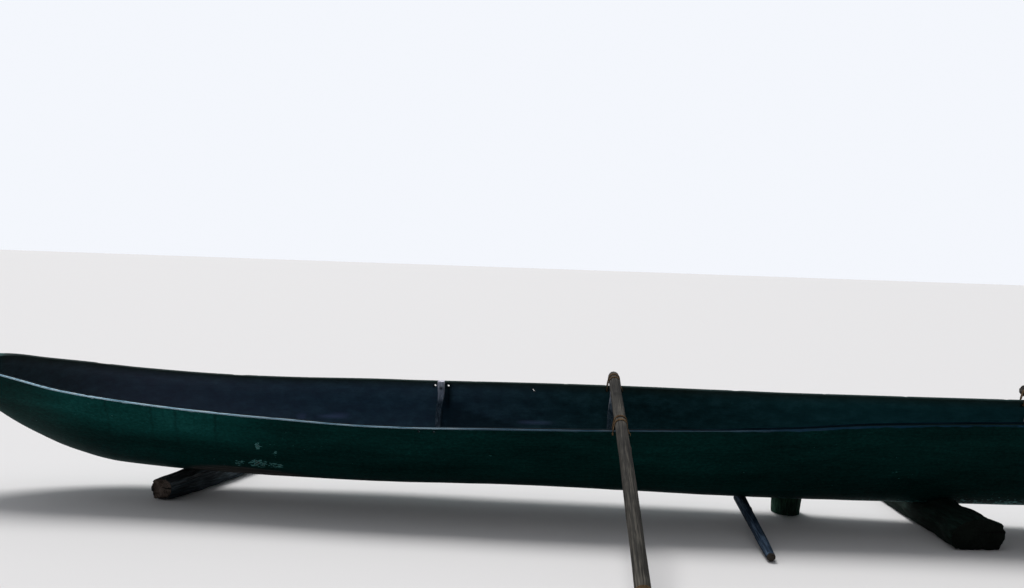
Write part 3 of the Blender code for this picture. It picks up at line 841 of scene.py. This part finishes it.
def lashing_route(node, boom):
    """Turns of one cord through a pair of holes and over the boom."""
    places = moved(points_of(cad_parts[node]), TO_HULL)
    low, high = places.min(axis=0), places.max(axis=0)
    middle = (low[0] + high[0]) / 2.0
    spread = (high[0] - low[0]) / 2.0 - LOOP_RADIUS
    hole = low[2] + LOOP_RADIUS
    sides = ((low[1] + LOOP_RADIUS, 1.0), (high[1] - LOOP_RADIUS, -1.0))
    half_cord = CORD_WIDTH / 2.0
    route = []
    for turn, (y, way) in product(range(CORD_TURNS), sides):
        bunch = half_cord * 1.02 * np.array((1.0 if turn % 2 else -1.0, 1.0 if turn // 2 else -1.0))
        lane = y + (turn - (CORD_TURNS - 1) / 2.0) * CORD_WIDTH * 1.04
        height = middle_height(boom, middle, lane)
        up, down = [[(middle + side * spread + bunch[0], y + 0.4 * bunch[1], hole + bunch[1]),
                     (middle + side * (spread - 0.001), lane, hole + 0.45 * (height - hole))]
                    for side in (-way, way)]
        over = []
        for step in range(13):
            angle = radians(180.0 - 15.0 * step)
            angle = angle if way > 0.0 else pi - angle
            out = Vector((cos(angle), 0.0, sin(angle)))
            skin_place = boom_surface(boom, middle, lane, height, angle)
            over.append(tuple(skin_place + out * (half_cord + 0.0003)))
        route += up + over + down[::-1]
    return route


def whipping_route(node):
    """Tight turns round the standing part of a lashing, ending in a short tail."""
    places = moved(points_of(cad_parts[node]), TO_HULL)
    low, high = places.min(axis=0), places.max(axis=0)
    x = high[0] - LOOP_RADIUS - 0.001
    y, base = low[1:] + LOOP_RADIUS
    reach_y = CORD_WIDTH * (CORD_TURNS / 2.0 + 0.5)
    route = []
    for step in range(3 * 12 + 1):
        angle = tau * step / 12 - pi / 2.0
        rise = base + 0.016 + CORD_WIDTH * 1.06 * step / 12
        route.append((x + CORD_WIDTH * cos(angle), y + reach_y * sin(angle), rise))
    x_end, y_end, z_end = route[-1]
    for out, down in ((0.006, 0.004), (0.012, 0.014), (0.014, 0.026)):
        route.append((x_end + out, y_end - out * 0.5, z_end - down))
    return route


def make_lashings(booms):
    material = coir_cord()
    profile = strand_profile()
    for place, side in product(booms, ("near", "far", "float")):
        node = f"lashing_{place}_{side}"
        turns = twisted_cord(node + "_turns", lashing_route(node, booms[place]), profile)
        tie = twisted_cord(node + "_tie", whipping_route(node), profile)
        select_only(turns)
        tie.select_set(True)
        bpy.ops.object.join()
        turns.data.transform(TO_WORLD)
        hand_over(turns, node, material)
    bpy.data.objects.remove(profile)


def to_linear(hex_colour):
    """sRGB hex to the linear colour that a shader takes."""
    parts = [int(hex_colour[start:start + 2], 16) / 255.0 for start in (1, 3, 5)]
    linear = [p / 12.92 if p <= 0.04045 else ((p + 0.055) / 1.055) ** 2.4 for p in parts]
    return (*linear, 1.0)


def fill_socket(tree, socket, value):
    """Sets a socket's colour or number, or links another node's output to it."""
    if isinstance(value, bpy.types.Node):
        value = next(output for output in value.outputs if output.enabled)
    if isinstance(value, bpy.types.NodeSocket):
        tree.links.new(value, socket)
    else:
        socket.default_value = to_linear(value) if isinstance(value, str) else value


def add_node(tree, kind, *values, stops=None, **named):
    """Adds a node: values go to its live sockets in order, or to the socket of their name,
    or, with a name in small letters, to a setting. Stops are a ramp's."""
    made = tree.nodes.new("ShaderNode" + kind)
    for name in filter(str.islower, named):
        setattr(made, name, named[name])
    for index, (place, value) in enumerate((stops or {}).items()):
        elements = made.color_ramp.elements
        element = elements[index] if index < len(elements) else elements.new(1.0)
        element.position = place
        element.color = to_linear(value) if isinstance(value, str) else (value, value, value, 1.0)
    live = [socket for socket in made.inputs if socket.enabled]
    for socket, value in zip(live, values):
        fill_socket(tree, socket, value)
    for socket in live:
        if socket.name in named:
            fill_socket(tree, socket, named[socket.name])
    return made


def new_finish(name, numbers=""):
    """A material, what adds a node or noise to it, and the values that its mesh keeps."""
    material = bpy.data.materials.new(name)
    material.use_nodes = True
    add = functools.partial(add_node, material.node_tree)
    kept = types.SimpleNamespace(grain=add("Attribute", attribute_name="grain").outputs["Vector"])
    for number in numbers.split():
        setattr(kept, number, add("Attribute", attribute_name=number).outputs["Fac"])
    return material, add, functools.partial(noise_along, add, kept.grain), kept


def finish_shader(material, *values):
    """Fills the shader's sockets in this order and leaves the rest as they are."""
    names = ("Base Color", "Roughness", "Specular IOR Level", "Normal", "Specular Tint")
    tree = material.node_tree
    for name, value in zip(names, values):
        fill_socket(tree, tree.nodes["Principled BSDF"].inputs[name], value)
    return material


def noise_along(add, grain, along, across, detail=3.0, roughness=0.55):
    """Noise whose marks are about that long and wide, in metres."""
    stretched = add("Mapping", grain, Scale=(1.0 / along, 1.0 / across, 1.0 / across))
    return add("TexNoise", stretched, 1.0, detail, roughness).outputs["Fac"]


def enamelled_dugout_wood():
    """Brushed sea green enamel, dull with age: streaked, chipped and worn to bare wood
    along the keel, pale on the gunwale's lip; the hollow is bare wood gone blue grey.
    Painted light and shade: a lighter upper side towards the stern, a lip darkened
    towards the bow, and shade beside the mid rib and in the holes."""
    material, add, noise, kept = new_finish("enamelled_dugout_wood", HULL_VALUES)
    wood_grain = noise(0.45, 0.012, 8.0, 0.65)
    bare = add("ValToRGB", wood_grain, stops={0.32: "#1D1D1D", 0.50: "#393736", 0.70: "#605D5B"})

    # enamel: broad fading that is partly painted light on the upper side towards the stern, chalky
    # mottling, then the brush's streaks 5 mm apart
    tone = 0.0
    for part, weight in ((kept.faded, 0.30), (noise(0.70, 0.17), 0.50),
                         (noise(0.022, 0.016, 4.0, 0.7), 0.50)):
        tone = add("Math", part, weight, tone, operation="MULTIPLY_ADD")
    enamel = add("ValToRGB", tone,
                 stops={0.38: "#031918", 0.54: "#062826", 0.76: "#0B3D3A", 0.96: "#1A5653"})
    brush = noise(0.32, 0.005, 4.0)
    streaky = add("ValToRGB", brush, stops={0.50: 0.0, 0.80: 0.13})

    # runs of dirt from water that ran down from the gunwale: four plain runs and many faint ones
    x = add("SeparateXYZ", kept.grain).outputs["X"]
    wavering = add("Math", noise(0.05, 0.045, 4.0), 0.05, x, operation="MULTIPLY_ADD")
    stretch = add("MapRange", wavering, 1.025, 2.025)
    marks = {run - 1.0 + side * 0.016: 0.85 * (1.0 - abs(side))
             for run in RUNS for side in (-1.0, 0.0, 1.0)}
    plain = add("ValToRGB", stretch, stops=marks)
    many = add("ValToRGB", noise(0.030, 0.90, 2.0), stops={0.56: 0.0, 0.72: 0.30})
    runs = add("Math", plain, many, operation="MAXIMUM")
    fade = add("MapRange", kept.below, 0.04, 0.32, 0.58, 0.0)
    dirt = add("Math", runs, fade, operation="MULTIPLY")

    # chips 15 to 25 mm across, first to the pale undercoat and then to the wood
    chip = noise(0.026, 0.018, 5.0, 0.60)
    worn_keel = add("MapRange", kept.keel, 0.72, 0.94, 0.0, 0.32)
    wear = chip
    for part, weight in ((noise(0.50, 0.20, 2.0), 0.26), (kept.scuffed, 1.0), (worn_keel, 1.0)):
        wear = add("Math", part, weight, wear, operation="MULTIPLY_ADD")
    undercoat = add("ValToRGB", wear, stops={0.855: 0.0, 0.90: 1.0})
    chipped = add("ValToRGB", wear, stops={0.965: 0.0, 0.985: 1.0})
    ragged = add("Math", chip, 0.55, kept.bared, operation="MULTIPLY_ADD")
    rubbed = add("ValToRGB", ragged, stops={0.55: 0.0, 0.90: 0.85})
    chipped = add("Math", chipped, rubbed, operation="MAXIMUM")

    # the hollow: clouded green grey wood, greener to the bow, with violet dust on its
    # bottom, bleached to the stern, a dark band under the rim, and painted shade beside the mid rib
    clouded = add("Math", wood_grain, 0.15, operation="MULTIPLY")
    clouded = add("Math", noise(0.11, 0.08, 7.0, 0.68), 0.85, clouded, operation="MULTIPLY_ADD")
    hollow = add("ValToRGB", clouded, stops={0.34: "#1E383B", 0.50: "#2B4D51", 0.66: "#3F6369"})
    drifts = add("Math", kept.floor, noise(0.55, 0.05, 4.0), operation="MULTIPLY")
    dust = add("ValToRGB", drifts, stops={0.36: 0.0, 0.60: 0.7})
    bleached = add("Math", kept.faded, 0.20, operation="MULTIPLY")
    band = add("MapRange", kept.below, 0.008, 0.060, 0.80, 0.0)
    for share, tint in ((kept.green, "#3D777E"), (kept.dusty, "#8590B8"), (dust, "#7C7A93"),
                        (bleached, "#9A8D9A"), (band, "#2E3630"), (kept.stained, "#12191A")):
        hollow = add("Mix", share, hollow, tint, data_type="RGBA")
    rim_wood = add("ValToRGB", wood_grain, stops={0.34: "#010609", 0.52: "#030C12", 0.70: "#0A1922"})

    # the lip is pale, darkened towards the bow by painted shade and rubbed through in places
    pale = noise(0.16, 0.02, 4.0)
    pale = add("ValToRGB", pale, stops={0.34: "#86B0C6", 0.50: "#BCE1F6", 0.66: "#E6F7FF"})
    pale = add("Mix", kept.dirty, pale, "#053048", data_type="RGBA")
    edge = add("Math", noise(0.10, 0.03, 4.0), 0.8, kept.lip, operation="MULTIPLY_ADD")
    on_lip = add("ValToRGB", edge, stops={0.78: 0.0, 0.96: 1.0})
    colour = enamel
    for share, tint in ((streaky, "#1C5B57"), (dirt, "#041211"), (undercoat, "#4B7E7D"), (chipped, bare),
                        (kept.inside, hollow), (kept.rim, rim_wood), (on_lip, pale)):
        colour = add("Mix", share, colour, tint, data_type="RGBA")

    dull = add("Math", chipped, kept.inside, operation="MAXIMUM")
    gloss = add("MapRange", dull, 0.0, 1.0, 0.62, 0.90)
    brushed = add("Bump", Strength=0.35, Distance=0.0016, Height=brush)
    grained = add("Bump", Strength=0.40, Distance=0.0040, Height=wood_grain, Normal=brushed)
    edges = add("Bump", Strength=0.6, Distance=0.0012, Height=chipped, Normal=grained, invert=True)
    return finish_shader(material, colour, gloss, kept.sheen, edges, "#66BDB6")


WOODS = {
    # tones where sheltered, bleached and cut, the grain's length and width, roughness
    "peeled_pole_wood": (
        "#12110F #292622 #47423B", "#1A1918 #35332F #5B5750", "#1A1815 #3B352D", 0.30, 0.013, 0.88),
    "hewn_float_wood": (
        "#2A2622 #57514A #7C756B", "#3C3934 #76716A #A5A098", "#4A3D2E #857459", 0.42, 0.016, 0.88),
    # the aft log's dark tones are partly its own and partly painted shade
    "rough_driftwood": (
        "#13191D #2A3439 #4A5A63", "#1A1D1F #3A3F42 #696C6D", "#14110F #6C6058", 0.20, 0.018, 0.94),
    # the fore log's near black green is partly its own dark wood and partly painted shade
    "dark_trunk_wood_and_painted_shade": (
        "#020A08 #07150F #12251F", "#030D0A #0A1B16 #1A302A", "#040806 #121915", 0.20, 0.018, 0.94),
    # the stump's green is partly moss and partly painted light: a green glare that brightens it in the
    # hull's shade
    "moss_and_painted_glare_stump_wood": (
        "#0E1E18 #203C31 #365848", "#0D1914 #1D3128 #34503F", "#151A15 #38423A", 0.12, 0.014, 0.94),
    "damp_grey_pole_wood": (
        "#060D14 #111F2C #263747", "#0C1721 #1F3042 #5B6E83", "#221F1C #4A443E", 0.22, 0.010, 0.88),
}


def weathered_wood(name):
    """Bare wood from the table of woods: silver where the sky reaches it, browner below,
    with dark checks along the grain and growth rings where it is cut."""
    material, add, noise, kept = new_finish(name, "cut sky")
    *tones, along, across, roughness = WOODS[name]
    sheltered, bleached, end_tones = [row.split() for row in tones]
    streak = noise(along, across, 8.0, 0.62)
    blotch = noise(0.22, 0.14)
    level = streak
    for part, weight in ((noise(along * 0.35, across * 0.22), 0.60), (blotch, 0.45)):
        level = add("Math", part, weight, level, operation="MULTIPLY_ADD")
    scaled = add("MapRange", level, 0.70, 1.36)
    low, high = [add("ValToRGB", scaled, stops=dict(zip((0.15, 0.50, 0.85), tones)))
                 for tones in (sheltered, bleached)]
    checks = add("ValToRGB", noise(along * 0.8, across * 0.30, 2.0), stops={0.35: 0.90, 0.39: 0.0})

    # cut ends: rings round a pith that is off the middle, and drying cracks that run out from it
    pith = add("Mapping", kept.grain, (0.0, 0.011, -0.007))
    rings = add("TexWave", pith, 34.0, 5.5, 3.0, 2.6, wave_type="RINGS", rings_direction="X")
    ringed = blotch
    for part, weight in ((rings.outputs["Fac"], 0.35), (noise(0.006, 0.006), 0.40)):
        ringed = add("Math", part, weight, ringed, operation="MULTIPLY_ADD")
    end = add("ValToRGB", ringed, stops={0.55: end_tones[0], 1.05: end_tones[1]})
    face = add("CombineXYZ", *add("SeparateXYZ", pith).outputs[1:])
    turn = add("TexGradient", face, gradient_type="RADIAL").outputs["Fac"]
    turn = add("Math", turn, 11.0, operation="MULTIPLY")
    spokes = add("TexNoise", turn, 1.0, 3.0, noise_dimensions="1D").outputs["Fac"]
    cracks = add("ValToRGB", spokes, stops={0.33: 0.9, 0.37: 0.0})
    end = add("Mix", cracks, end, "#050505", data_type="RGBA")
    colour = low
    for share, tint in ((kept.sky, high), (checks, sheltered[0]), (kept.cut, end)):
        colour = add("Mix", share, colour, tint, data_type="RGBA")
    coarse = add("Bump", Strength=0.6, Distance=0.003, Height=streak)
    bump = add("Bump", Strength=0.5, Distance=0.0015, Height=checks, Normal=coarse, invert=True)
    return finish_shader(material, colour, roughness, 0.12, bump)


def grey_crook_wood():
    """Bare crooked branch: pale at its head and dark lower down, partly bleaching and
    staining and partly painted light, a painted highlight on its head and painted shade
    below; with grain along its bend and a dark knot."""
    material, add, noise, kept = new_finish("grey_crook_wood", "below knot")
    streak = noise(0.14, 0.009, 7.0, 0.62)
    # pale head and dark foot: partly weathering, partly a painted highlight and painted shade
    head = add("ValToRGB", streak, stops={0.34: "#84838F", 0.50: "#C3C2CF", 0.66: "#E9E8F0"})
    foot = add("ValToRGB", streak, stops={0.34: "#2C353E", 0.50: "#4A5662", 0.68: "#7C8791"})
    depth = add("Math", noise(0.09, 0.035, 4.0), 0.16, kept.below, operation="MULTIPLY_ADD")
    share = add("MapRange", depth, 0.12, 0.22)
    colour = add("Mix", share, head, foot, data_type="RGBA")
    colour = add("Mix", kept.knot, colour, "#26222A", data_type="RGBA")
    bump = add("Bump", Strength=0.6, Distance=0.003, Height=streak)
    return finish_shader(material, colour, 0.88, 0.25, bump)


def coir_cord():
    """Brown coconut fibre cord, hairy and dull, paler on its crowns."""
    material, add, _, kept = new_finish("coir_cord")
    fibre = add("TexNoise", kept.grain, 420.0, 4.0)
    tone = add("TexNoise", kept.grain, 14.0, 2.0)
    level = add("Math", tone, 0.6, fibre, operation="MULTIPLY_ADD")
    colour = add("ValToRGB", level, stops={0.50: "#33261A", 0.78: "#65503A", 1.0: "#92795A"})
    bump = add("Bump", Strength=0.6, Distance=0.0006, Height=fibre)
    return finish_shader(material, colour, 0.92, 0.2, bump)


def pale_floor():
    """Plain matt ground for the render."""
    material = bpy.data.materials.new("pale_floor")
    material.use_nodes = True
    return finish_shader(material, "#D2D0CF", 0.95)


def place_camera():
    camera = new_object("photo_camera", bpy.data.cameras.new("photo_camera"))
    camera.data.sensor_fit = "HORIZONTAL"
    camera.data.sensor_width = SENSOR_MM
    camera.data.lens = SENSOR_MM * FOCAL_PX / PHOTO_WIDTH_PX
    turn = Matrix.Rotation(CAMERA_YAW, 4, "Z")
    turn = turn @ Matrix.Rotation(pi / 2.0 - CAMERA_DIP, 4, "X")
    turn = turn @ Matrix.Rotation(CAMERA_ROLL, 4, "Z")
    camera.matrix_world = Matrix.Translation(CAMERA_PLACE) @ turn
    bpy.context.scene.camera = camera


def light_studio():
    """Broad light from high behind the far side, so the near side stays in soft shade."""
    sun = bpy.data.lights.new("light_over_the_far_side", "SUN")
    sun.energy = SUN_STRENGTH
    sun.angle = SUN_SOFTNESS
    raised = Vector((0.0, cos(SUN_ELEVATION), sin(SUN_ELEVATION)))
    towards = Matrix.Rotation(SUN_BEARING, 3, "Z") @ raised
    new_object(sun.name, sun).rotation_euler = towards.to_track_quat("Z", "Y").to_euler()
    world = bpy.data.worlds.new("pale_studio")
    world.use_nodes = True
    tree = world.node_tree
    way = add_node(tree, "TexCoord").outputs["Generated"]
    towards_light = add_node(tree, "VectorMath", way, BACKDROP_WAY, operation="DOT_PRODUCT")
    strength = add_node(tree, "MapRange", towards_light, -0.6, 0.6, 0.035, 0.98)
    backdrop = tree.nodes["Background"]
    fill_socket(tree, backdrop.inputs["Strength"], strength)
    fill_socket(tree, backdrop.inputs["Color"], "#F6F9FF")
    bpy.context.scene.world = world
    bpy.context.scene.view_settings.view_transform = "Standard"


def lay_floor():
    bpy.ops.mesh.primitive_plane_add(size=80.0)
    floor = bpy.context.object
    floor.name = "floor"
    floor.data.materials.append(pale_floor())


def main():
    place_camera()
    light_studio()
    lay_floor()
    make_hull()
    pole_wood = weathered_wood("peeled_pole_wood")
    booms = {place: make_boom(place, seed, pole_wood) for place, seed in (("aft", 5), ("fore", 9))}
    make_float()
    crook_wood = grey_crook_wood()
    for place, seed in (("mid", 51), ("aft", 53), ("fore", 57)):
        make_rib(place, seed, crook_wood)
    make_rough_log("log_aft", "log_aft_driftwood", "rough_driftwood", voxel=0.0056, lump=0.013,
                   furrow=0.0065, ragged=0.020, seed=61, cracks=((1.1, 0.16), (2.7, 0.12), (0.6, -0.2)))
    make_rough_log("log_fore", "log_fore_trunk", "dark_trunk_wood_and_painted_shade", voxel=0.0062, lump=0.010,
                   furrow=0.0060, ragged=0.008, seed=71, cracks=((1.7, 0.22), (0.5, 0.15), (2.2, -0.2)))
    make_chock()
    make_skid_pole()
    make_lashings(booms)


main()
